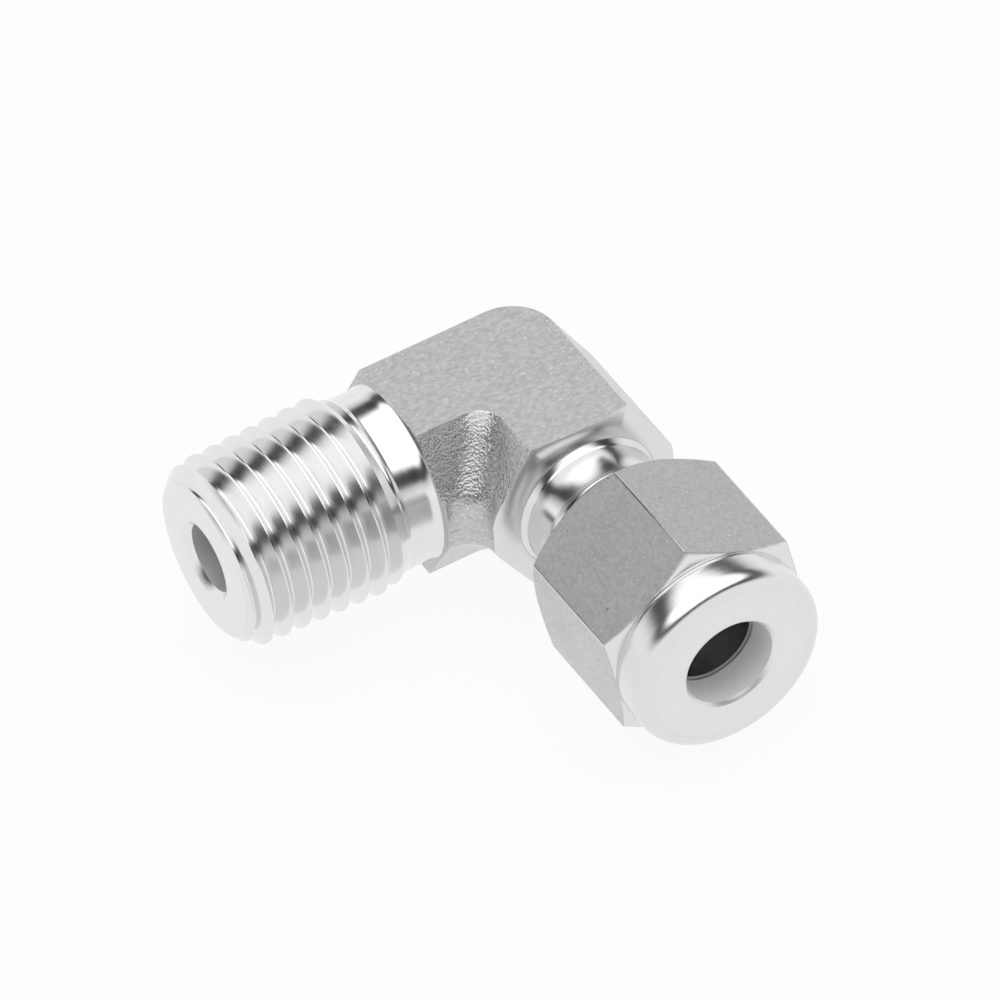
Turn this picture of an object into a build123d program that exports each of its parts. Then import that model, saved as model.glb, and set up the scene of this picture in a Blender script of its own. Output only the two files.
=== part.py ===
from build123d import *
from math import atan, cos, degrees, radians, sin, tan
import os

# Right-angle tube fitting with a tapered male pipe thread, for 6 mm tube.
# Sizes in mm. The pipe thread points along -X, the tube leg along -Y, Z is up.
# Everything is drawn from the crossing of the two leg axes and moved at the end, so that
# the zero point of the part is on the thread axis at the hand-tight plane of the thread.

# forged elbow: plan outline of the block at each height (height, inner side, outer side, inner corner)
pad_half_height = 6.35            # half the 12.7 mm spanner size across the flat pads
block_levels = [
    (pad_half_height, 3.65, 3.72, 1.9),
    (2.30, 6.50, 6.05, 2.2),
    (1.20, 6.90, 6.70, 2.1),
    (-1.30, 6.90, 6.70, 2.1),
    (-pad_half_height, 3.65, 3.72, 1.9),
]
outer_corner_axis = 0.45          # upright axis the outside corner is rounded about
end_margin = 0.05                 # flat between the inner corner and the end of a leg
leg_set_in = 4.05                 # how far the turned legs reach into the block
leg_end = max(inner + corner for height, inner, outer, corner in block_levels) + end_margin
leg_root = leg_end - leg_set_in

# tube leg, for a tube of this radius; distances run from the crossing of the legs
tube_radius = 3.0
socket_clearance = 0.10
tube_wall = 0.6
socket_radius = tube_radius + socket_clearance
bore_radius = tube_radius - tube_wall          # waterway as wide as the inside of the tube
shoulder_step = 0.45
shoulder_angle = 12.6
neck_showing = 5.0                # shoulder to the rear of the nut
nut_grip = 4.2                    # nut run on past the mouth of the body
socket_depth = 6.6
seat_depth = 2.5
mouth_half_angle = 12.0
mouth_room = 0.72
mouth_wall = 1.78
thread_relief = 0.7
relief_length = 2.65
fillet = 0.35
step_rise = 0.30                  # small ring between the relief and the thread
step_land = 0.12
shoulder_root = leg_end + shoulder_step
nut_rear = shoulder_root + neck_showing
body_mouth = nut_rear + nut_grip
tube_stop = body_mouth - socket_depth
seat_root = body_mouth - seat_depth
relief_end = shoulder_root + relief_length
mouth_radius = tube_radius + mouth_room
tube_thread_radius = mouth_radius + mouth_wall
relief_radius = tube_thread_radius - thread_relief

# ferrules, stacked on the mouth of the body
ferrule_clearance = 0.06
ferrule_wall = 1.35
seat_gap = 0.05
nose_reach = 1.8
cone_length = 3.0
cone_step = 0.3
front_stand = 3.5                 # rear of the front ferrule beyond the mouth
dish = 0.6
dish_room = 0.1
nose_gap = 0.15
nose_height = 0.45
lip_width = 0.16
flange_gap = 0.75
flange_slope = 0.4
rim_width = 0.55
back_lip_width = 0.25
ferrule_bore_radius = tube_radius + ferrule_clearance
ferrule_radius = tube_radius + ferrule_wall
nose = body_mouth - nose_reach
cone_end = nose + cone_length
front_rear = body_mouth + front_stand
back_nose = front_rear - dish + nose_gap
nose_lip = ferrule_bore_radius + lip_width
flange = front_rear + flange_gap
rim = flange + rim_width
back_lip = ferrule_bore_radius + back_lip_width
back_rear = rim + ferrule_radius - back_lip

# nut
nut_wall = 1.5                    # tube thread to the flats
nut_turned = 23.2                 # turn of the hexagon about the tube axis as pictured
nut_bore_clearance = 0.20
nut_bore_break = 0.25
nut_thread_clearance = 0.10
nut_lead_in = 0.4
nut_thread_cover = 1.9            # thread carried past the mouth of the body
cavity_room = 0.37
face_wall = 2.65                  # shoulder to the front face
collar_length = 2.8
collar_inset = 0.07
collar_round = 1.15
groove_depth = 0.12
groove_width = 0.32
rear_chamfer = 0.82
front_chamfer = 0.55
nut_flats = 2 * (tube_thread_radius + nut_wall)
nut_thread_radius = tube_thread_radius + nut_thread_clearance
nut_bore_radius = tube_radius + nut_bore_clearance
nut_cavity_radius = ferrule_radius + cavity_room
nut_thread_end = body_mouth + nut_thread_cover
nut_shoulder = back_rear + 2 * seat_gap + back_lip - nut_bore_radius
nut_face = nut_shoulder + face_wall
hex_front = nut_face - collar_length
collar_radius = nut_flats / 2 - collar_inset

# tapered pipe thread, 18 turns to the inch, 1 in 16 on diameter
thread_pitch = 25.4 / 18
taper = 1 / 32
crest_radius = 6.52               # at the small end
depth_per_pitch = 0.8125
hand_tight_length = 5.79          # small end to the hand-tight plane
thread_length = 10.65             # small end to the full crest at the neck
neck_inset = 0.39
flare_length = 0.65
flare_rise = 0.17
neck_length = 1.65
run_out_slope = 1.40
nose_chamfer = 1.10
groove_lead = 1.53                # groove centre beyond the small end where it is level with the +Y side
groove_lead_in = 30.0             # degrees past the +Y side at which the cutting starts
run_out_turns = 0.42
run_out_climb = 0.45
bore_chamfer = 0.44
thread_depth = depth_per_pitch * thread_pitch
neck_radius = crest_radius - neck_inset
flare_start = leg_end + flare_length
neck_start = flare_start + neck_length
crest_cone_end = neck_start + run_out_slope
thread_end = crest_cone_end + thread_length
end_face_radius = crest_radius - nose_chamfer
turns_to_neck = (thread_end + groove_lead - neck_start) / thread_pitch - groove_lead_in / 360
full_turns = round(turns_to_neck - run_out_turns)


def ring(profile, axis):
    """Solid turned about a leg axis from (distance from the crossing, radius) pairs."""
    spots = [(-d, r) if axis == "x" else (r, -d) for d, r in profile]
    return revolve(make_face(Polyline(*spots, close=True)), Axis.X if axis == "x" else Axis.Y)


def round_off(centre, radius, start, stop, steps):
    """Points on an arc about a (distance, radius) centre, angles in degrees."""
    turns = [radians(start + (stop - start) * k / steps) for k in range(steps + 1)]
    return [(centre[0] + radius * cos(a), centre[1] + radius * sin(a)) for a in turns]


# Forged block

def block_outline(level, length):
    """L-shaped plan of the block at one height, both corners rounded."""
    height, inner, outer, corner = level
    centre = outer_corner_axis
    reach = outer - centre
    diag = reach * cos(radians(45))
    bend = inner + corner
    near = bend - corner * cos(radians(45))
    outline = Wire([
        Line((-length[0], outer), (centre, outer)).edge(),
        ThreePointArc((centre, outer), (centre + diag, centre + diag), (outer, centre)).edge(),
        Line((outer, centre), (outer, -length[1])).edge(),
        Line((outer, -length[1]), (-inner, -length[1])).edge(),
        Line((-inner, -length[1]), (-inner, -bend)).edge(),
        ThreePointArc((-inner, -bend), (-near, -near), (-bend, -inner)).edge(),
        Line((-bend, -inner), (-length[0], -inner)).edge(),
        Line((-length[0], -inner), (-length[0], outer)).edge(),
    ])
    return Pos(0, 0, height) * Face(outline)


def forged_block():
    """Two draft faces over an upright land, mirrored below; the tube leg end is turned to a cone."""
    size = (leg_end, shoulder_root)
    levels = [block_outline(level, size) for level in block_levels]
    return Part() + [loft([upper, lower], ruled=True) for upper, lower in zip(levels[:-1], levels[1:])]


shoulder_inner = relief_radius + fillet
slope = tan(radians(shoulder_angle))
turned_away = ring([(shoulder_root, shoulder_inner), (shoulder_root - slope * 6, shoulder_inner + 6),
                    (shoulder_root + 2, shoulder_inner + 6), (shoulder_root + 2, shoulder_inner)], "y")

# Pipe thread leg: flared neck, run-out slope, tapered crest and a chamfered nose

def crest_at(distance):
    return crest_radius + (thread_end - distance) * taper


nose_rise = crest_at(thread_end) - end_face_radius
flare_curve = (flare_length ** 2 + flare_rise ** 2) / (2 * flare_rise)
flare_turn = degrees(atan(flare_length / (flare_curve - flare_rise)))
flare = round_off((flare_start, neck_radius + flare_curve), flare_curve, 270 - flare_turn, 270, 2)
thread_blank = ring(
    [(leg_root, 0), (leg_root, neck_radius + flare_rise)] + flare
    + [(neck_start, neck_radius), (crest_cone_end, crest_at(crest_cone_end)),
       (thread_end - nose_rise, crest_at(thread_end - nose_rise)),
       (thread_end, end_face_radius), (thread_end, 0)], "x")


def groove(start, phase, turns, root_radius, growth):
    """One stretch of the 60 degree groove: three screw lines joined by ruled faces and capped."""
    cut = 1.06 * thread_depth
    lines = []
    for side, up in ((0, 0), (1, cut), (-1, cut)):
        line = Helix(pitch=thread_pitch, height=thread_pitch * turns, radius=root_radius + up,
                     cone_angle=degrees(atan(growth)))
        shift = side * up * tan(radians(30))
        lines.append((Rot(0, 0, phase) * Pos(0, 0, start + shift) * line).edge())
    faces = [Face.make_surface_from_curves(a, b) for a, b in zip(lines, lines[1:] + lines[:1])]
    for spot in (0, 1):
        tips = [line.position_at(spot) for line in lines]
        faces.append(Face(Wire([Line(a, b).edge() for a, b in zip(tips, tips[1:] + tips[:1])])))
    return Solid(Shell(faces))


# The groove is cut a turn at a time from outside the nose, then climbs out onto the neck.
first = thread_pitch * groove_lead_in / 360 - thread_end - groove_lead
stretches = [(first + turn * thread_pitch, 1, taper) for turn in range(full_turns)]
stretches.append((first + full_turns * thread_pitch, run_out_turns,
                  run_out_climb / (run_out_turns * thread_pitch)))
cuts = [groove(start, groove_lead_in, turns, crest_at(-start) - thread_depth, growth)
        for start, turns, growth in stretches]

# The screw is drawn upright and laid along the leg, its first line level with the +Y side.
lay_down = Plane(origin=(0, 0, 0), x_dir=(0, 1, 0), z_dir=(1, 0, 0)).location
thread_leg = thread_blank - [lay_down * cut for cut in cuts]

# Tube leg: relief neck, parallel thread cylinder and the mouth the front ferrule seats in

cone_slope = tan(radians(mouth_half_angle))
neck_fillet = round_off((shoulder_root + fillet, shoulder_inner), fillet, 180, 270, 2)
tube_leg = ring(
    [(leg_root, 0), (leg_root, shoulder_inner)] + neck_fillet
    + [(relief_end, relief_radius), (relief_end + step_rise, relief_radius + step_rise),
       (relief_end + step_rise + step_land, relief_radius + step_rise),
       (relief_end + step_land + thread_relief, tube_thread_radius), (body_mouth - thread_relief, tube_thread_radius),
       (body_mouth, relief_radius), (body_mouth, 0)], "y")

waterway = ring([(-bore_radius, 0), (-bore_radius, bore_radius), (thread_end - bore_chamfer, bore_radius),
                 (thread_end + 0.1, bore_radius + bore_chamfer + 0.1), (thread_end + 0.1, 0)], "x")
socket = ring([(0, 0), (0, bore_radius), (tube_stop, bore_radius), (tube_stop, socket_radius),
               (seat_root, socket_radius), (seat_root, mouth_radius - seat_depth * cone_slope),
               (body_mouth, mouth_radius), (body_mouth + 1, mouth_radius), (body_mouth + 1, 0)], "y")

elbow_body = (forged_block() - turned_away) + thread_leg + tube_leg - waterway - socket

# Nut: hexagon chamfered at both ends, a grooved collar with a rounded front edge

corner_radius = nut_flats / 2 / cos(radians(30))
hexagon = RegularPolygon(corner_radius, 6, rotation=180 - nut_turned)
prism = Plane.XZ * hexagon
prism = Pos(0, -nut_rear, 0) * extrude(prism, amount=hex_front - nut_rear)
flat_radius = nut_flats / 2
clear_of_hex = corner_radius + 1
turned_hex = ring([(nut_rear, 0), (nut_rear, flat_radius), (nut_rear + rear_chamfer, corner_radius),
                   (nut_rear + rear_chamfer, clear_of_hex), (hex_front - front_chamfer, clear_of_hex),
                   (hex_front - front_chamfer, corner_radius), (hex_front, flat_radius), (hex_front, 0)], "y")
groove_floor = collar_radius - groove_depth
collar = ring(
    [(hex_front - 1, 0), (hex_front - 1, groove_floor), (hex_front, groove_floor),
     (hex_front + groove_width, collar_radius)]
    + round_off((nut_face - collar_round, collar_radius - collar_round), collar_round, 90, 0, 4)
    + [(nut_face, 0)], "y")
hollow = ring(
    [(nut_rear - 1, 0), (nut_rear - 1, nut_thread_radius + nut_lead_in + 1),
     (nut_rear + nut_lead_in, nut_thread_radius), (nut_thread_end, nut_thread_radius),
     (nut_thread_end, nut_cavity_radius),
     (nut_shoulder - (nut_cavity_radius - nut_bore_radius), nut_cavity_radius), (nut_shoulder, nut_bore_radius),
     (nut_face - nut_bore_break, nut_bore_radius),
     (nut_face + 0.1, nut_bore_radius + nut_bore_break + 0.1), (nut_face + 0.1, 0)], "y")
nut = (prism & turned_hex) + collar - hollow

# Front ferrule: long cone seated in the body mouth, its collar dished for the back ferrule nose

def seat_line(distance):
    return mouth_radius - (body_mouth - distance) * cone_slope - seat_gap


front_ferrule = ring(
    [(nose, ferrule_bore_radius), (nose, seat_line(nose)), (cone_end, seat_line(cone_end)),
     (cone_end + cone_step, ferrule_radius), (front_rear, ferrule_radius),
     (front_rear, ferrule_bore_radius + dish_room + dish), (front_rear - dish, ferrule_bore_radius + dish_room),
     (front_rear - dish, ferrule_bore_radius)], "y")

# Back ferrule: short nose entering the dish, flanged against the 45 degree shoulder of the nut

back_ferrule = ring(
    [(back_nose, ferrule_bore_radius), (back_nose, nose_lip), (back_nose + nose_height, nose_lip + nose_height),
     (flange - flange_slope, nose_lip + nose_height), (flange, ferrule_radius), (rim, ferrule_radius),
     (back_rear, back_lip), (back_rear, ferrule_bore_radius)], "y")

# Every piece moved so that the hand-tight plane of the pipe thread is the zero point.
to_zero = Pos(thread_end - hand_tight_length, 0, 0)
os.makedirs("parts", exist_ok=True)
for name, piece in (("elbow_body", elbow_body), ("nut", nut), ("front_ferrule", front_ferrule),
                    ("back_ferrule", back_ferrule)):
    export_step(to_zero * piece, f"parts/{name}.step")
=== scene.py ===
import math

import bmesh
import bpy
from mathutils import Matrix, Vector


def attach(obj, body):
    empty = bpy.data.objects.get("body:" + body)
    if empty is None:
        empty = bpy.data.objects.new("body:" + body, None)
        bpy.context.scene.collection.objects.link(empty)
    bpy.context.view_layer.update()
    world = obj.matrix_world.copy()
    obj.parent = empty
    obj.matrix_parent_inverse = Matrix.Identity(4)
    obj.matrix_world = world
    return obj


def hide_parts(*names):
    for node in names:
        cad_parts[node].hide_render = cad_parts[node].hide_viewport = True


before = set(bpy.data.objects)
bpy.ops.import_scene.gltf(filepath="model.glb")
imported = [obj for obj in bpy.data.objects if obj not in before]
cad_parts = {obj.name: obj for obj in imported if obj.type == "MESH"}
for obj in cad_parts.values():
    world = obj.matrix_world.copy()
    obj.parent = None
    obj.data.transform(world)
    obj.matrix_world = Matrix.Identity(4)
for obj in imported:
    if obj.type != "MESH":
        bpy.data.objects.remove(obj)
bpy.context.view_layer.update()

# Forged elbow block. The real one is hot-forged stainless steel: two flats are ground parallel for a
# spanner, and the faces between them keep the draft and the peened skin of the die.
# It is drawn as a stack of L-shaped outlines about the crossing of the legs, and the legs are set into it.
MM = 0.001
CROSSING = Vector((17.61, 0, 0))


def new_piece(name, bm, *materials):
    """Object from a bmesh drawn in mm about the crossing of the legs, moved to its place in metres."""
    bmesh.ops.remove_doubles(bm, verts=bm.verts, dist=1e-4)
    bmesh.ops.recalc_face_normals(bm, faces=bm.faces)
    mesh = bpy.data.meshes.new(name)
    bm.to_mesh(mesh)
    bm.free()
    mesh.transform(Matrix.Scale(MM, 4) @ Matrix.Translation(CROSSING))
    for material in materials:
        mesh.materials.append(material)
    piece = bpy.data.objects.new(name, mesh)
    bpy.context.collection.objects.link(piece)
    return piece


def settle(piece):
    """Turns the piece with its modifiers into a plain mesh."""
    bpy.context.view_layer.update()
    made = bpy.data.meshes.new_from_object(piece.evaluated_get(bpy.context.evaluated_depsgraph_get()))
    piece.modifiers.clear()
    old, piece.data = piece.data, made
    bpy.data.meshes.remove(old)
    piece.data.name = piece.name


def combine(piece, other, operation):
    """Cuts, joins or keeps the common part with another closed piece, which is then used up."""
    step = piece.modifiers.new(operation.lower(), "BOOLEAN")
    step.operation, step.solver, step.object = operation, "EXACT", other
    settle(piece)
    bpy.data.objects.remove(other)


def break_edges(piece, width, steps=2, angle=24, slot=-1):
    """Rounds the corners sharper than an angle and keeps the flats flat in the shading."""
    step = piece.modifiers.new("broken_edges", "BEVEL")
    step.width, step.segments, step.limit_method, step.angle_limit = width * MM, steps, "ANGLE", math.radians(angle)
    step.material, step.miter_outer, step.use_clamp_overlap = slot, "MITER_ARC", True
    settle(piece)
    shade(piece, 40)


def shade(piece, angle):
    """Smooth shading that keeps corners sharper than an angle, weighted so that flats stay flat."""
    piece.data.shade_smooth()
    piece.data.set_sharp_from_angle(angle=math.radians(angle))
    step = piece.modifiers.new("flat_faces", "WEIGHTED_NORMAL")
    step.keep_sharp, step.weight = True, 60
    settle(piece)


def turned(name, profile, toward="x", angles=192, materials=()):
    """Closed solid turned about a leg: (distance from the crossing, radius, corner rounding) in mm.

    A function of the angle stands for a ring that isn't round; a bare number changes the material slot.
    """
    if isinstance(angles, int):
        angles = [2 * math.pi * j / angles for j in range(angles)]
    corners = [p for p in profile if not isinstance(p, int)]
    points, slots, slot = [], [], 0
    for entry in profile:
        if isinstance(entry, int):
            slot = entry
            continue
        if callable(entry) or len(entry) < 3:
            points.append(entry)
            slots.append(slot)
            continue
        k = corners.index(entry)
        here, before, after = (Vector(p[:2]) for p in (entry, corners[k - 1], corners[(k + 1) % len(corners)]))
        before, after = before - here, after - here
        reach = entry[2] / math.tan(before.angle(after) / 2)
        start, stop = here + before.normalized() * reach, here + after.normalized() * reach
        steps = 10 if entry[2] > 0.5 else 3
        for t in (j / steps for j in range(steps + 1)):
            points.append(start * (1 - t) ** 2 + here * 2 * t * (1 - t) + stop * t * t)
            slots.append(slot)
    bm = bmesh.new()
    rings = []
    for point in points:
        on_axis = not callable(point) and point[1] < 1e-6
        spots = [point(a) if callable(point) else point for a in (angles[:1] if on_axis else angles)]
        rings.append([bm.verts.new((-d, r * math.cos(a), r * math.sin(a))) for (d, r, *rest), a in zip(spots, angles)])
    for one, two, slot in zip(rings, rings[1:] + rings[:1], slots):
        for j in range(len(angles)):
            corner = [one[j % len(one)], one[(j + 1) % len(one)], two[(j + 1) % len(two)], two[j % len(two)]]
            corner = list(dict.fromkeys(corner))
            if len(corner) > 2:
                bm.faces.new(corner).material_index = slot
    if toward == "y":
        bmesh.ops.rotate(bm, verts=bm.verts, cent=(0, 0, 0), matrix=Matrix.Rotation(math.pi / 2, 3, "Z"))
    return new_piece(name, bm, *materials)


def node(tree, kind, values=None, **settings):
    """Adds a node, sets its properties, and sets or links its inputs by name or number."""
    made = tree.nodes.new(kind)
    for key, value in settings.items():
        setattr(made, key, value)
    for key, value in (values or {}).items():
        if isinstance(value, bpy.types.NodeSocket):
            tree.links.new(value, made.inputs[key])
        else:
            made.inputs[key].default_value = value
    return made


def group(name, inputs, outputs):
    """Empty shader node group with float inputs and outputs; returns it with its two end nodes."""
    tree = bpy.data.node_groups.new(name, "ShaderNodeTree")
    for label, kind, value in inputs:
        socket = tree.interface.new_socket(label, in_out="INPUT", socket_type=kind)
        if value is not None:
            socket.default_value = value
    for label in outputs:
        tree.interface.new_socket(label, in_out="OUTPUT", socket_type="NodeSocketFloat")
    return tree, tree.nodes.new("NodeGroupInput"), tree.nodes.new("NodeGroupOutput")


# grain shared by every finish: fine pitting, broad cloudiness and scattered specks; where a finish mixes the specks
# into its colour as bright spots, they are painted glints
grain, g_in, g_out = group("steel_grain", [
    ("Vector", "NodeSocketVector", None), ("Size", "NodeSocketFloat", 1.0), ("Speck Share", "NodeSocketFloat", 0.04)],
    ["Height", "Mottle", "Cloud", "Specks"])
fine = node(grain, "ShaderNodeTexNoise", {"Vector": g_in.outputs["Vector"], "Detail": 3.0, "Roughness": 0.6})
per_size = node(grain, "ShaderNodeMath", {0: 9000.0, 1: g_in.outputs["Size"]}, operation="DIVIDE")
grain.links.new(per_size.outputs[0], fine.inputs["Scale"])
cloud = node(grain, "ShaderNodeTexNoise", {"Vector": g_in.outputs["Vector"], "Scale": 420.0, "Detail": 2.0})
mottle = node(grain, "ShaderNodeTexNoise", {"Vector": g_in.outputs["Vector"], "Detail": 2.0, "Roughness": 0.5})
mottle_size = node(grain, "ShaderNodeMath", {0: 4200.0, 1: g_in.outputs["Size"]}, operation="DIVIDE")
grain.links.new(mottle_size.outputs[0], mottle.inputs["Scale"])
cell_size = node(grain, "ShaderNodeMath", {0: 9500.0, 1: g_in.outputs["Size"]}, operation="DIVIDE")
cells = node(grain, "ShaderNodeTexVoronoi", {"Vector": g_in.outputs["Vector"], "Scale": cell_size.outputs[0]})
cell_value = node(grain, "ShaderNodeSeparateColor", {"Color": cells.outputs["Color"]})
lit = node(grain, "ShaderNodeMath", {0: cell_value.outputs["Red"], 1: g_in.outputs["Speck Share"]}, operation="LESS_THAN")
near = node(grain, "ShaderNodeMath", {0: cells.outputs["Distance"], 1: 0.42}, operation="LESS_THAN")
specks = node(grain, "ShaderNodeMath", {0: lit.outputs[0], 1: near.outputs[0]}, operation="MULTIPLY")
grain.links.new(fine.outputs["Fac"], g_out.inputs["Height"])
grain.links.new(mottle.outputs["Fac"], g_out.inputs["Mottle"])
grain.links.new(cloud.outputs["Fac"], g_out.inputs["Cloud"])
grain.links.new(specks.outputs[0], g_out.inputs["Specks"])


def finish(name, color, roughness):
    """Steel material with its Principled shader, ready for a pattern."""
    material = bpy.data.materials.new(name)
    material.use_nodes = True
    tree = material.node_tree
    shader = tree.nodes["Principled BSDF"]
    shader.inputs["Base Color"].default_value = (*color, 1)
    shader.inputs["Metallic"].default_value = 1.0
    shader.inputs["Roughness"].default_value = roughness
    return material, tree, shader


def steel_grain(tree, vector, size, specks):
    made = node(tree, "ShaderNodeGroup", node_tree=grain)
    made.inputs["Size"].default_value, made.inputs["Speck Share"].default_value = size, specks
    tree.links.new(vector, made.inputs["Vector"])
    return made


def between(tree, value, low, high):
    """Maps a 0 to 1 pattern onto a range."""
    return node(tree, "ShaderNodeMapRange", {"Value": value, "To Min": low, "To Max": high}).outputs[0]


# the ground flats carry a fine short grain, and the peened slopes larger dents that flash
forged_skin, tree, shader = finish("forged_skin", (0.7, 0.7, 0.69), 0.4)
place = node(tree, "ShaderNodeTexCoord").outputs["Object"]
face_normal = node(tree, "ShaderNodeSeparateXYZ", {0: node(tree, "ShaderNodeNewGeometry").outputs["Normal"]})
level = node(tree, "ShaderNodeMath", {0: face_normal.outputs["Z"]}, operation="ABSOLUTE").outputs[0]
flat = node(tree, "ShaderNodeMapRange", {"Value": level, "From Min": 0.8, "From Max": 0.95}).outputs[0]
slope = node(tree, "ShaderNodeMapRange", {"Value": level, "From Min": 0.2, "From Max": 0.4, "To Min": 0.4}).outputs[0]
stretched = node(tree, "ShaderNodeMapping", {"Vector": place, "Rotation": (0, 0, math.radians(28)), "Scale": (0.55, 1, 1)})
pad_grain = steel_grain(tree, stretched.outputs[0], 1.0, 0.03)
dents = node(tree, "ShaderNodeTexVoronoi", {"Vector": place, "Scale": 6200.0, "Randomness": 1.0}, feature="SMOOTH_F1")
dents.inputs["Smoothness"].default_value = 0.6
ripple = node(tree, "ShaderNodeTexNoise", {"Vector": place, "Scale": 4200.0, "Detail": 3.0, "Roughness": 0.6})
dent_height = node(tree, "ShaderNodeMath", {0: dents.outputs["Distance"], 1: ripple.outputs["Fac"]}, operation="ADD")
peened = node(tree, "ShaderNodeMath", {0: slope, 1: flat}, operation="SUBTRACT")
peened.use_clamp = True
peened = peened.outputs[0]
pad_height = node(tree, "ShaderNodeMath", {0: pad_grain.outputs["Height"], 1: between(tree, flat, 0.5, 1.0)},
                  operation="MULTIPLY").outputs[0]
dent_part = node(tree, "ShaderNodeMath", {0: dent_height.outputs[0], 1: between(tree, peened, 0.0, 1.5)},
                 operation="MULTIPLY").outputs[0]
height = node(tree, "ShaderNodeMath", {0: pad_height, 1: dent_part}, operation="ADD").outputs[0]
bump = node(tree, "ShaderNodeBump", {"Height": height, "Distance": 0.00002, "Strength": 0.85})
tree.links.new(bump.outputs[0], shader.inputs["Normal"])
rough = node(tree, "ShaderNodeMath", {0: between(tree, pad_grain.outputs["Cloud"], 0.36, 0.5),
                                      1: between(tree, peened, 0.0, 0.16)}, operation="SUBTRACT")
tree.links.new(rough.outputs[0], shader.inputs["Roughness"])
patchy = node(tree, "ShaderNodeMapRange", {"Value": pad_grain.outputs["Mottle"], "From Min": 0.3, "From Max": 0.7})
ground = node(tree, "ShaderNodeMix", {"Factor": patchy.outputs[0], "A": (0.49, 0.49, 0.485, 1),
                                      "B": (0.64, 0.64, 0.635, 1)}, data_type="RGBA")
# the bright specks mixed into the colour are painted glints, the sparkle of the skin
tone = node(tree, "ShaderNodeMix", {"Factor": pad_grain.outputs["Specks"], "A": ground.outputs["Result"],
                                    "B": (0.86, 0.86, 0.86, 1)}, data_type="RGBA")
tree.links.new(tone.outputs["Result"], shader.inputs["Base Color"])

# bright burr that grinding leaves round the flats
bright_burr, tree, shader = finish("bright_burr", (0.97, 0.97, 0.96), 0.35)
wander = node(tree, "ShaderNodeTexNoise", {"Vector": node(tree, "ShaderNodeTexCoord").outputs["Object"], "Scale": 2600.0})
worn = node(tree, "ShaderNodeMapRange", {"Value": wander.outputs["Fac"], "From Min": 0.35, "From Max": 0.6})
edge_tone = node(tree, "ShaderNodeMix", {"Factor": worn.outputs[0], "A": (0.7, 0.7, 0.7, 1), "B": (1, 1, 1, 1)},
                 data_type="RGBA")
tree.links.new(edge_tone.outputs["Result"], shader.inputs["Base Color"])
tree.links.new(between(tree, wander.outputs["Fac"], 0.3, 0.5), shader.inputs["Roughness"])

# turned finish for the ends and legs: fine rings about an axis, with slow changes of polish from cut to cut
rings, r_in, r_out = group("turning_marks", [
    ("Vector", "NodeSocketVector", None), ("Lines", "NodeSocketFloat", 9000.0)], ["Height", "Streak"])
axes = node(rings, "ShaderNodeSeparateXYZ", {0: r_in.outputs["Vector"]})
plane = node(rings, "ShaderNodeCombineXYZ", {"X": axes.outputs["Y"], "Y": axes.outputs["Z"]})
radius = node(rings, "ShaderNodeVectorMath", {0: plane.outputs[0]}, operation="LENGTH")
across = node(rings, "ShaderNodeCombineXYZ", {"X": axes.outputs["X"], "Y": radius.outputs["Value"]})
lines = node(rings, "ShaderNodeTexNoise", {"Vector": across.outputs[0], "Scale": r_in.outputs["Lines"], "Detail": 4.0,
                                           "Roughness": 0.7}, noise_dimensions="2D")
broad = node(rings, "ShaderNodeTexNoise", {"Vector": across.outputs[0], "Scale": 1500.0, "Detail": 1.0},
             noise_dimensions="2D")
rings.links.new(lines.outputs["Fac"], r_out.inputs["Height"])
rings.links.new(broad.outputs["Fac"], r_out.inputs["Streak"])


def turned_steel(name, color, low, high, centre=(0, 0, 0), spin=0.0, depth=0.000004, lines=9000.0):
    """Steel with a turned finish about the pipe axis, or about another line when moved and spun."""
    material, tree, shader = finish(name, color, (low + high) / 2)
    place = node(tree, "ShaderNodeTexCoord").outputs["Object"]
    centred = node(tree, "ShaderNodeMapping", {"Vector": place, "Location": centre}).outputs[0]
    leg = node(tree, "ShaderNodeMapping", {"Vector": centred, "Rotation": (0, 0, spin)}).outputs[0]
    marks = node(tree, "ShaderNodeGroup", node_tree=rings)
    marks.inputs["Lines"].default_value = lines
    tree.links.new(leg, marks.inputs["Vector"])
    speckle = steel_grain(tree, place, 1.0, 0.02)
    mixed = node(tree, "ShaderNodeMath", {0: marks.outputs["Streak"], 1: speckle.outputs["Cloud"]}, operation="MULTIPLY")
    tree.links.new(between(tree, mixed.outputs[0], low, high * 2 - low), shader.inputs["Roughness"])
    both = node(tree, "ShaderNodeMath", {0: marks.outputs["Height"], 1: between(tree, speckle.outputs["Height"], 0, 0.3)},
                operation="ADD")
    bump = node(tree, "ShaderNodeBump", {"Height": both.outputs[0], "Distance": depth, "Strength": 0.6})
    tree.links.new(bump.outputs[0], shader.inputs["Normal"])
    return material


leg_shift = tuple(-v * MM for v in CROSSING)
shoulder_bright = turned_steel("shoulder_bright", (0.74, 0.74, 0.735), 0.2, 0.3, leg_shift, -math.pi / 2)
# bore walls: a rough finish, with painted light: metallic is lowered so a pale diffuse part lightens the walls as if
# light reached into the bores
rough_bore_painted_light = turned_steel("rough_bore_painted_light", (0.75, 0.75, 0.745), 0.45, 0.6)
rough_bore_painted_light.node_tree.nodes["Principled BSDF"].inputs["Metallic"].default_value = 0.7

leg_end = 9.05
shoulder_root = 9.5
outer_axis = 0.45
stations = [(6.35, 3.65, 3.72, 1.9), (2.3, 6.5, 6.05, 2.2), (1.2, 6.9, 6.7, 2.1), (-1.3, 6.9, 6.7, 2.1), (-6.35, 3.65, 3.72, 1.9)]


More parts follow.
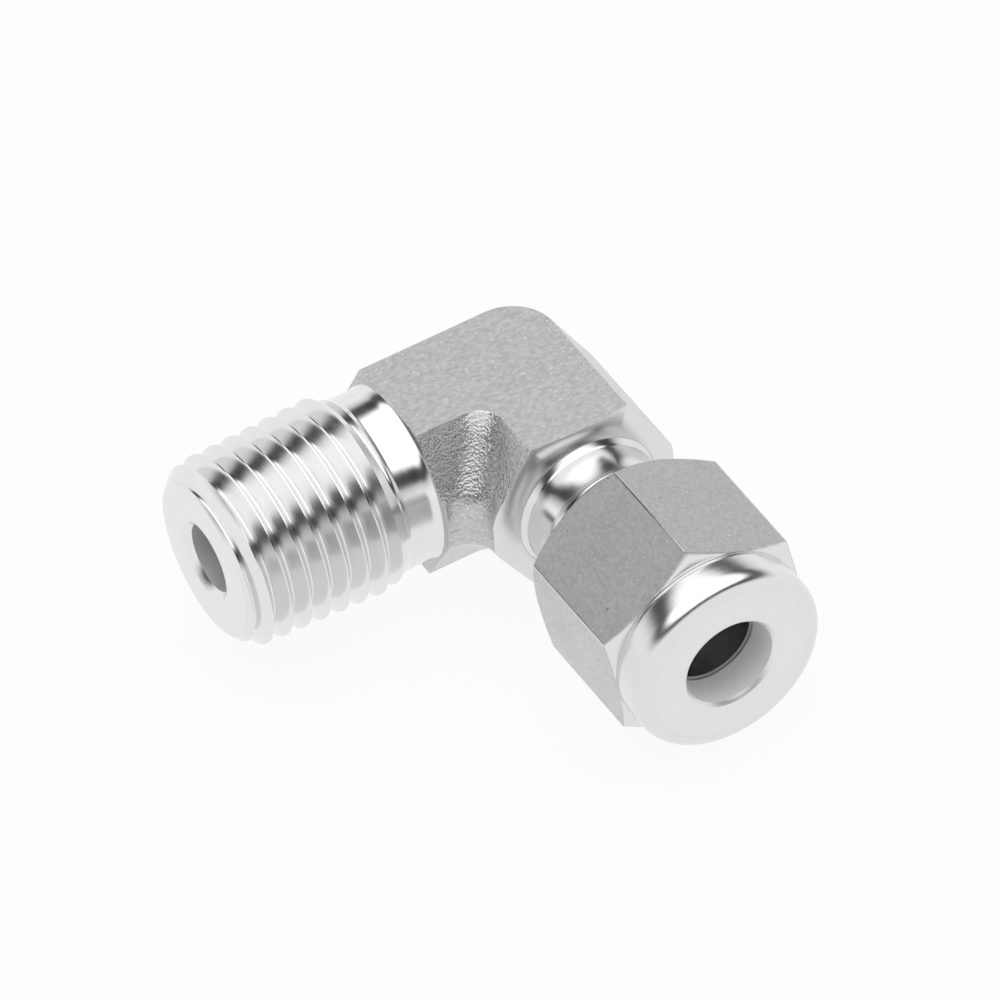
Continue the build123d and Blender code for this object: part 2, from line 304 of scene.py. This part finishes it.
def side_at(z, blend=0.32):
    """Inner side, outer side and inner corner radius at a height, eased where two draft faces meet."""
    sums = [0.0, 0.0, 0.0]
    for k in range(9):
        at = z + blend * (k - 4) / 4 if abs(z) < 6.0 else z
        upper, lower = next((a, b) for a, b in zip(stations, stations[1:]) if at >= b[0] or b is stations[-1])
        share = (at - lower[0]) / (upper[0] - lower[0])
        for j in range(3):
            sums[j] += (lower[j + 1] + (upper[j + 1] - lower[j + 1]) * share) / 9
    return sums


bm = bmesh.new()
loops = []
flash_line = {0.07: 0.0, 0.0: 0.035, -0.07: 0.0}
for z in (6.35, 5.2, 4.0, 3.0, 2.7, 2.5, 2.3, 2.1, 1.9, 1.7, 1.5, 1.35, 1.2, 1.05, 0.9, 0.5, *flash_line,
          -0.5, -0.95, -1.15, -1.3, -1.45, -1.65, -2.5, -4.0, -5.2, -6.35):
    inner, outer, corner = side_at(z)
    inner, outer = inner + flash_line.get(z, 0), outer + flash_line.get(z, 0)
    bend, reach = inner + corner, outer - outer_axis
    outline = [(-leg_end, outer), (-5.0, outer)]
    outline += [(outer_axis + reach * math.sin(a), outer_axis + reach * math.cos(a))
                for a in (math.pi / 2 * j / 28 for j in range(29))]
    outline += [(outer, -5.0), (outer, -shoulder_root), (-inner, -shoulder_root)]
    outline += [(-bend + corner * math.cos(a), -bend + corner * math.sin(a))
                for a in (math.pi / 2 * j / 16 for j in range(17))]
    outline += [(-leg_end, -inner)]
    loops.append([bm.verts.new((x, y, z)) for x, y in outline])
for above, below in zip(loops, loops[1:]):
    for j in range(len(above)):
        k = (j + 1) % len(above)
        bm.faces.new((above[j], above[k], below[k], below[j]))
bm.faces.new(loops[0])
bm.faces.new(loops[-1][::-1])
block = new_piece("forged_block", bm, forged_skin, bright_burr, shoulder_bright, rough_bore_painted_light)

shoulder_radius = 5.15
slant = math.tan(math.radians(12.6))
combine(block, turned("shoulder_cut", [
    2, (shoulder_root, shoulder_radius), (shoulder_root - slant * 6, shoulder_radius + 6),
    (shoulder_root + 2, shoulder_radius + 6), (shoulder_root + 2, shoulder_radius)], "y"), "DIFFERENCE")
waterway = 2.4
for way, start in (("x", -waterway), ("y", 0)):
    combine(block, turned("drill_" + way, [3, (start, 0), (start, waterway), (12, waterway), (12, 0)], way, 96), "DIFFERENCE")
break_edges(block, 0.06, slot=1, angle=22)
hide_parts("elbow_body")
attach(block, "elbow")

# Pipe thread leg. Turned on the forging from the same steel, it is a flared neck, a run-out slope and a
# tapered right-hand thread, 18 turns to the inch, cut with a single-point tool and left bright.
thread_bright = turned_steel("thread_bright", (0.79, 0.79, 0.785), 0.13, 0.21)
pitch = 25.4 / 18
thread_end = 23.4
taper = 1 / 32
crest = 6.52
thread_depth = 1.06


def crest_at(distance):
    return crest + (thread_end - distance) * taper


# Geometry Nodes tree that cuts a screw groove in a turned blank
screw = bpy.data.node_groups.new("screw_groove", "GeometryNodeTree")
screw.interface.new_socket("Geometry", in_out="INPUT", socket_type="NodeSocketGeometry")
for label, kind in (("Start", "Float"), ("Pitch", "Float"), ("Turns", "Float"), ("Start Angle", "Float"), ("Root Radius", "Float"),
                    ("Taper", "Float"), ("Depth", "Float"), ("Root Flat", "Float"), ("Run Out Turns", "Float"),
                    ("Run Out Rise", "Float"), ("Facets A Turn", "Int"), ("Finish", "Material")):
    screw.interface.new_socket(label, in_out="INPUT", socket_type="NodeSocket" + kind)
screw.interface.new_socket("Geometry", in_out="OUTPUT", socket_type="NodeSocketGeometry")
s_in, s_out = screw.nodes.new("NodeGroupInput"), screw.nodes.new("NodeGroupOutput")


def calc(operation, first, second=0.0, third=None):
    values = {0: first, 1: second}
    if third is not None:
        values[2] = third
    return node(screw, "ShaderNodeMath", values, operation=operation).outputs[0]


cells_along = calc("MULTIPLY", s_in.outputs["Turns"], s_in.outputs["Facets A Turn"])
bar = node(screw, "GeometryNodeMeshCylinder", {"Vertices": 4, "Radius": 1.0, "Depth": 1.0}, fill_type="NGON")
screw.links.new(cells_along, bar.inputs["Side Segments"])
at = node(screw, "ShaderNodeSeparateXYZ", {0: node(screw, "GeometryNodeInputPosition").outputs[0]})
turn = calc("MULTIPLY", calc("ADD", at.outputs["Z"], 0.5), s_in.outputs["Turns"])
flank = calc("SIGN", calc("ADD", at.outputs["X"], at.outputs["Y"]))
lift = calc("MULTIPLY", calc("MULTIPLY_ADD", calc("SIGN", calc("SUBTRACT", at.outputs["Y"], at.outputs["X"])), 0.5, 0.5),
            s_in.outputs["Depth"])
along = calc("MULTIPLY", turn, s_in.outputs["Pitch"])
spread = calc("MULTIPLY", flank, calc("MULTIPLY_ADD", lift, math.tan(math.radians(30)),
                                      calc("MULTIPLY", s_in.outputs["Root Flat"], 0.5)))
left = calc("SUBTRACT", turn, calc("SUBTRACT", s_in.outputs["Turns"], s_in.outputs["Run Out Turns"]))
rise = calc("MULTIPLY", calc("MAXIMUM", calc("DIVIDE", left, s_in.outputs["Run Out Turns"]), 0.0), s_in.outputs["Run Out Rise"])
reach = calc("ADD", calc("ADD", calc("ADD", s_in.outputs["Root Radius"], calc("MULTIPLY", along, s_in.outputs["Taper"])), rise), lift)
angle = calc("ADD", calc("MULTIPLY", turn, 2 * math.pi), s_in.outputs["Start Angle"])
spot = node(screw, "ShaderNodeCombineXYZ", {
    "X": calc("ADD", calc("ADD", s_in.outputs["Start"], along), spread),
    "Y": calc("MULTIPLY", reach, calc("COSINE", angle)), "Z": calc("MULTIPLY", reach, calc("SINE", angle))})
cutter = node(screw, "GeometryNodeSetPosition", {"Geometry": bar.outputs["Mesh"], "Position": spot.outputs[0]})
cut = node(screw, "GeometryNodeMeshBoolean", {"Mesh 1": s_in.outputs["Geometry"], "Mesh 2": cutter.outputs[0]},
           operation="DIFFERENCE", solver="EXACT")
whole = node(screw, "GeometryNodeRealizeInstances", {"Geometry": cut.outputs["Mesh"]})
turned_side = node(screw, "FunctionNodeCompare", {0: node(screw, "GeometryNodeInputMaterialIndex").outputs[0], 1: 1},
                   data_type="INT", operation="NOT_EQUAL")
named = node(screw, "GeometryNodeSetMaterial", {"Geometry": whole.outputs[0], "Material": s_in.outputs["Finish"]})
screw.links.new(turned_side.outputs[0], named.inputs["Selection"])
screw.links.new(named.outputs[0], s_out.inputs["Geometry"])


def cut_screw(piece, **values):
    """Runs the screw tree on a piece drawn in mm about the X axis."""
    step = piece.modifiers.new("screw_groove", "NODES")
    step.node_group = screw
    keys = {item.name: item.identifier for item in screw.interface.items_tree if item.in_out == "INPUT"}
    for label, value in values.items():
        step[keys[label.replace("_", " ").title()]] = value
    settle(piece)


def move(piece, matrix):
    piece.data.transform(matrix)


to_place = Matrix.Scale(MM, 4) @ Matrix.Translation(CROSSING)
nose = crest_at(thread_end) - 5.42
neck = 6.13
flare_curve = ((9.7 - leg_end) ** 2 + (6.3 - neck) ** 2) / (2 * (6.3 - neck))
flare_turn = math.atan((9.7 - leg_end) / (flare_curve - (6.3 - neck)))
flare = [(9.7 - flare_curve * math.sin(flare_turn * (1 - k / 6)), neck + flare_curve * (1 - math.cos(flare_turn * (1 - k / 6))))
         for k in range(7)]
thread_leg = turned("pipe_thread", [
    1, (7.5, waterway), 0, (7.5, 5.9), (leg_end - 0.3, 5.9), (leg_end - 0.3, 6.3), *flare, (11.35, neck, 0.25),
    (12.75, crest_at(12.75), 0.1), (thread_end - nose, crest_at(thread_end - nose)), (thread_end, 5.42, 0.05),
    (thread_end, waterway + 0.44, 0.03), 1, (thread_end - 0.44, waterway, 0.03)], materials=(thread_bright, rough_bore_painted_light))
move(thread_leg, to_place.inverted())
first = 30.0
cut_screw(thread_leg, start=-24.93 + pitch * first / 360, pitch=pitch, turns=9.42, start_angle=math.radians(first),
          root_radius=crest_at(24.93) - thread_depth, taper=taper, depth=thread_depth * 1.06, root_flat=0.1,
          run_out_turns=0.42, run_out_rise=0.45, facets_a_turn=160, finish=thread_bright)
move(thread_leg, to_place)
shade(thread_leg, 20)
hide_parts("elbow_body")
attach(thread_leg, "elbow")

# Tube leg. Turned on the other arm: a shallow shoulder, a relief neck with two fine rings, a parallel
# thread that the nut runs on, and a coned mouth that the front ferrule seats in.
leg_bright = turned_steel("leg_bright", (0.74, 0.74, 0.735), 0.12, 0.2, leg_shift, -math.pi / 2)
relief = 4.8
major = 5.5
mouth = 18.7
tube_stop = 12.1
socket = 3.1
mouth_radius = 3.72
mouth_slope = math.tan(math.radians(12))
tube_leg = turned("tube_leg", [
    1, (7.5, waterway), 0, (7.5, shoulder_radius - 0.3), (shoulder_root - 0.2, shoulder_radius - 0.3),
    (shoulder_root - 0.02, shoulder_radius - 0.02), (shoulder_root + 0.35, relief, 0.3), (tube_stop + 0.05, relief, 0.06),
    (tube_stop + 0.35, relief + 0.3, 0.05), (tube_stop + 0.47, relief + 0.3, 0.04), (tube_stop + 0.87, major, 0.05),
    (mouth - 0.7, major), (mouth, major - 0.7, 0.05), (mouth, mouth_radius, 0.05),
    (16.2, mouth_radius - (mouth - 16.2) * mouth_slope), 1, (16.2, socket), (tube_stop, socket),
    (tube_stop, waterway, 0.03)], "y", materials=(leg_bright, rough_bore_painted_light))
move(tube_leg, Matrix.Rotation(-math.pi / 2, 4, "Z") @ to_place.inverted())
cut_screw(tube_leg, start=-20.2, pitch=1.27, turns=5.9, start_angle=0.0, root_radius=major - 0.62, taper=0.0,
          depth=0.72, root_flat=0.16, run_out_turns=0.5, run_out_rise=0.7, facets_a_turn=96, finish=leg_bright)
move(tube_leg, to_place @ Matrix.Rotation(math.pi / 2, 4, "Z"))
shade(tube_leg, 24)
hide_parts("elbow_body")
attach(tube_leg, "elbow")

# Compression nut. Cut from drawn hexagon bar: satin flats, chamfered at both ends, with a turned collar in
# front whose edge is rounded over. Inside, the screw thread that draws it onto the tube leg is drawn as a plain
# stepped bore.
def bar_steel(name, low, high):
    """Satin finish of drawn bar: fine grain, small bright specks that are painted glints, and a few dark dots of
    painted shade standing for pitting.
    """
    material, tree, shader = finish(name, (0.7, 0.7, 0.69), low)
    place = node(tree, "ShaderNodeTexCoord").outputs["Object"]
    drawn = node(tree, "ShaderNodeMapping", {"Vector": place, "Scale": (1, 0.7, 1)}).outputs[0]
    skin = steel_grain(tree, drawn, 1.0, 0.012)
    bump = node(tree, "ShaderNodeBump", {"Height": skin.outputs["Height"], "Distance": 0.000012, "Strength": 0.7})
    tree.links.new(bump.outputs[0], shader.inputs["Normal"])
    tree.links.new(between(tree, skin.outputs["Cloud"], low, high), shader.inputs["Roughness"])
    patchy = node(tree, "ShaderNodeMapRange", {"Value": skin.outputs["Mottle"], "From Min": 0.3, "From Max": 0.7})
    base = node(tree, "ShaderNodeMix", {"Factor": patchy.outputs[0], "A": (0.56, 0.56, 0.555, 1),
                                        "B": (0.68, 0.68, 0.675, 1)}, data_type="RGBA")
    # near-white specks in the colour are painted glints
    lit = node(tree, "ShaderNodeMix", {"Factor": skin.outputs["Specks"], "A": base.outputs["Result"],
                                       "B": (0.95, 0.95, 0.95, 1)}, data_type="RGBA")
    # near-black dots in the colour are painted shade standing for pitting
    pit_shade_dots = steel_grain(tree, place, 1.6, 0.0015)
    with_pit_shade = node(tree, "ShaderNodeMix", {"Factor": pit_shade_dots.outputs["Specks"], "A": lit.outputs["Result"],
                                          "B": (0.16, 0.16, 0.16, 1)}, data_type="RGBA")
    tree.links.new(with_pit_shade.outputs["Result"], shader.inputs["Base Color"])
    return material


nut_satin = bar_steel("nut_satin", 0.38, 0.5)
collar_bright = turned_steel("collar_bright", (0.76, 0.76, 0.755), 0.16, 0.26, leg_shift, -math.pi / 2)
faced = turned_steel("faced", (0.8, 0.8, 0.795), 0.3, 0.44, leg_shift, -math.pi / 2, 0.000003, 5000.0)
# nut bore: the near-white colour and low metallic are painted light, lightening the bore walls as if lit from the
# front
nut_bore_painted_light = turned_steel("nut_bore_painted_light", (0.94, 0.94, 0.935), 0.5, 0.65, leg_shift, -math.pi / 2)
nut_bore_painted_light.node_tree.nodes["Principled BSDF"].inputs["Metallic"].default_value = 0.25

across_flats = 14.0
nut_rear, nut_face, hex_front = 14.5, 27.4, 24.6
rear_chamfer, front_chamfer = 0.82, 0.55
collar = 6.93
corner = across_flats / 2 / math.cos(math.radians(30))
nut_turned = 23.2
corner_break = 0.1
edge_break = 0.045


def hexagon(angle):
    """Distance from the axis to the side of the bar at an angle, its corners a little rounded."""
    off = (math.degrees(angle) - nut_turned + 30) % 60 - 30
    off = math.radians(abs(off))
    centre = corner - corner_break / math.cos(math.radians(30))
    if math.sin(off) * corner > corner_break / 2:
        return across_flats / 2 / math.cos(math.radians(30) - off)
    return centre * math.cos(off) + math.sqrt(corner_break ** 2 - (centre * math.sin(off)) ** 2)


def chamfer(end, run, back, along):
    """Ring on a chamfer cone (back > 0, measured toward the end) or past it on the flats."""
    def ring(angle):
        rise = (hexagon(angle) - across_flats / 2) / (corner - across_flats / 2)
        if back:
            rise *= max(0.0, 1 - back / max(rise * abs(run), 1e-6))
            return end + run * rise, across_flats / 2 + (corner - across_flats / 2) * rise
        return end + run * rise + along, hexagon(angle)
    return ring


away = (0, 0.18, 0.3, 0.6, 1.2, 2, 3, 4.5, *range(6, 29, 2))
columns = sorted(math.radians(nut_turned + 60 * k + side * off) for k in range(6) for off in away for side in (1, -1)
                 if off or side > 0)
columns = sorted(columns + [math.radians(nut_turned + 60 * k + 30) for k in range(6)])
minor = 5.6
nut = turned("compression_nut", [
    (nut_rear, minor + 0.4, 0.05), 1, (nut_rear, across_flats / 2 - 0.04), 0, chamfer(nut_rear, rear_chamfer, edge_break, 0),
    chamfer(nut_rear, rear_chamfer, 0, edge_break), chamfer(hex_front, -front_chamfer, 0, -edge_break),
    1, chamfer(hex_front, -front_chamfer, edge_break, 0), (hex_front, across_flats / 2 - 0.04),
    (hex_front, collar - 0.12, 0.03), (hex_front + 0.2, collar - 0.12, 0.03), (hex_front + 0.32, collar, 0.05),
    (nut_face, collar, 1.15), 2, (nut_face, 5.7), (nut_face, 3.2 + 0.25, 0.04), 3, (nut_face - 0.25, 3.2, 0.04),
    (24.75, 3.2, 0.05), (24.75 - 1.52, 4.72), (20.6, 4.72), (20.6, minor), (nut_rear + 0.4, minor)],
    "y", columns, (nut_satin, collar_bright, faced, nut_bore_painted_light))
for face in nut.data.polygons:
    if math.hypot(face.center.x - CROSSING.x * MM, face.center.z) > (corner - 0.06) * MM:
        face.material_index = 1
shade(nut, 34)
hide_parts("nut")
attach(nut, "nut")

# Ferrules. Two small turned rings of the same steel lie loose between nut and body: the long front one is
# a cone for the mouth of the body, the short back one has a nose that enters it and a flange for the nut.
ferrule_bright = turned_steel("ferrule_bright", (0.78, 0.78, 0.775), 0.16, 0.26, leg_shift, -math.pi / 2)
for node_name in ("front_ferrule", "back_ferrule"):
    ring_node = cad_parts[node_name]
    ring_node.data.materials.clear()
    ring_node.data.materials.append(ferrule_bright)

# White table. A pale sheet under the fitting, which keeps a soft shadow; to the camera and to
# reflections it shows as the plain white ground of the picture.
bpy.ops.mesh.primitive_plane_add(size=3, location=(0, 0, -0.0083))
table = bpy.context.object
table.name = "table_top"
white = bpy.data.materials.new("table_white")
white.use_nodes = True
tree = white.node_tree
tree.nodes.clear()
seen = node(tree, "ShaderNodeLightPath")
either = node(tree, "ShaderNodeMath", {0: seen.outputs["Is Camera Ray"], 1: seen.outputs["Is Glossy Ray"]}, operation="MAXIMUM")
any_of = node(tree, "ShaderNodeMath", {0: either.outputs[0], 1: seen.outputs["Is Transmission Ray"]}, operation="MAXIMUM")
share = node(tree, "ShaderNodeMath", {0: any_of.outputs[0], 1: 0.93}, operation="MULTIPLY")
paper = node(tree, "ShaderNodeBsdfDiffuse", {"Color": (0.82, 0.82, 0.82, 1)})
glow = node(tree, "ShaderNodeEmission", {"Color": (1, 1, 1, 1), "Strength": 1.0})
both = node(tree, "ShaderNodeMixShader", {0: share.outputs[0], 1: paper.outputs[0], 2: glow.outputs[0]})
node(tree, "ShaderNodeOutputMaterial", {"Surface": both.outputs[0]})
table.data.materials.append(white)

# Light tent. A broad white top, pale sides and a dark gap between them, which the bright turned
# surfaces show as their dark bands.
studio = bpy.data.worlds.new("light_tent")
bpy.context.scene.world = studio
studio.use_nodes = True
tree = studio.node_tree
sky = tree.nodes["Background"]
heading = node(tree, "ShaderNodeSeparateXYZ", {0: node(tree, "ShaderNodeTexCoord").outputs["Generated"]})
upward = node(tree, "ShaderNodeMapRange", {"Value": heading.outputs["Z"], "From Min": -1.0, "From Max": 1.0})
ramp = node(tree, "ShaderNodeValToRGB", {"Fac": upward.outputs[0]})
tones = [(-1, 0.74), (0.2, 0.68), (0.36, 0.45), (0.43, 0.03), (0.65, 0.02), (0.71, 1.0), (1, 1.0)]
while len(ramp.color_ramp.elements) < len(tones):
    ramp.color_ramp.elements.new(0.5)
for element, (level_z, tone_v) in zip(ramp.color_ramp.elements, tones):
    element.position, element.color = (level_z + 1) / 2, (tone_v, tone_v, tone_v, 1)
tree.links.new(ramp.outputs["Color"], sky.inputs["Color"])
sky.inputs["Strength"].default_value = 1.5

# Camera. Long lens, looking down between the two legs, slightly rolled.
azimuth, elevation, roll = math.radians(-27.0615), math.radians(44.7978), math.radians(-5.2475)
back = Vector((math.sin(azimuth) * math.cos(elevation), -math.cos(azimuth) * math.cos(elevation), math.sin(elevation)))
right = Vector((math.cos(azimuth), math.sin(azimuth), 0))
above = back.cross(right)
look_right = right * math.cos(roll) + above * math.sin(roll)
look_up = above * math.cos(roll) - right * math.sin(roll)
target = CROSSING + Vector((-7.4159, -11.4778, 5.9988))
lens = bpy.data.cameras.new("camera")
lens.sensor_width, lens.lens, lens.clip_start, lens.clip_end = 36, 503.97, 0.05, 10
camera = bpy.data.objects.new("camera", lens)
bpy.context.collection.objects.link(camera)
stand = Matrix((look_right, look_up, back)).transposed().to_4x4()
stand.translation = (target + back * 902.24) * MM
camera.matrix_world = stand
bpy.context.scene.camera = camera
bpy.context.scene.view_settings.view_transform = "Standard"
